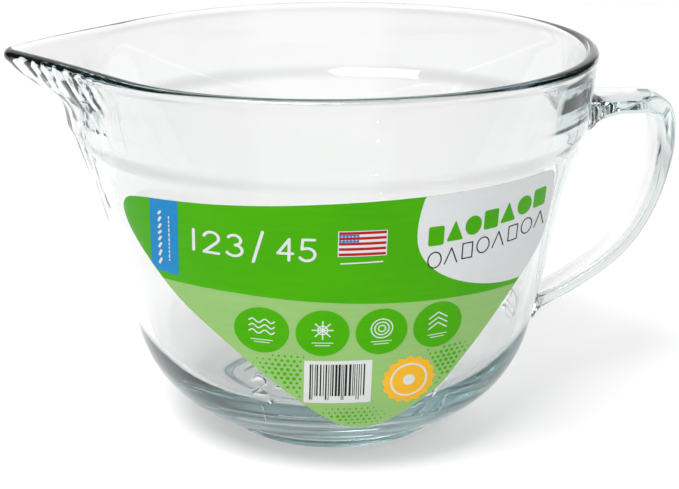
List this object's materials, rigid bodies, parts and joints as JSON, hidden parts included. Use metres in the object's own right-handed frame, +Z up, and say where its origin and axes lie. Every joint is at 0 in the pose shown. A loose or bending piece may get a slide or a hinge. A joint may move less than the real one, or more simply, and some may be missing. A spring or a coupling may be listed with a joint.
{
  "type": "bowl",
  "caption": "Clear pressed-glass batter bowl with a pouring spout, a strap handle, raised measuring marks and a printed label round its front.",
  "frame": {"origin": "on the table, at the centre of the foot's flat underside, on the axis of the round bowl", "axes": "+X from the bowl's axis towards the handle, -X towards the spout, -Y towards the label, +Z up"},
  "size_m": [0.2441, 0.19, 0.1419],
  "materials": {
    "glass": "clear pressed glass with a faint grey-green tint",
    "label_green": "glossy printed film, bright green",
    "label_blue": "glossy print, blue",
    "label_silver": "glossy print, silver white",
    "label_pale": "glossy print, pale green",
    "label_dark": "glossy print, mid green",
    "label_orange": "glossy print, orange",
    "label_white": "glossy print, white"
  },
  "bodies": {
    "root": {"bowl": "glass", "foot": "glass", "handle": "glass", "scale_front": "glass", "scale_back": "glass", "label_film": "label_green", "label_stripe": "label_blue", "label_panel": "label_silver", "label_field": "label_pale", "label_discs": "label_dark", "label_badge": "label_orange", "label_box": "label_white"}
  },
  "joints": []
}
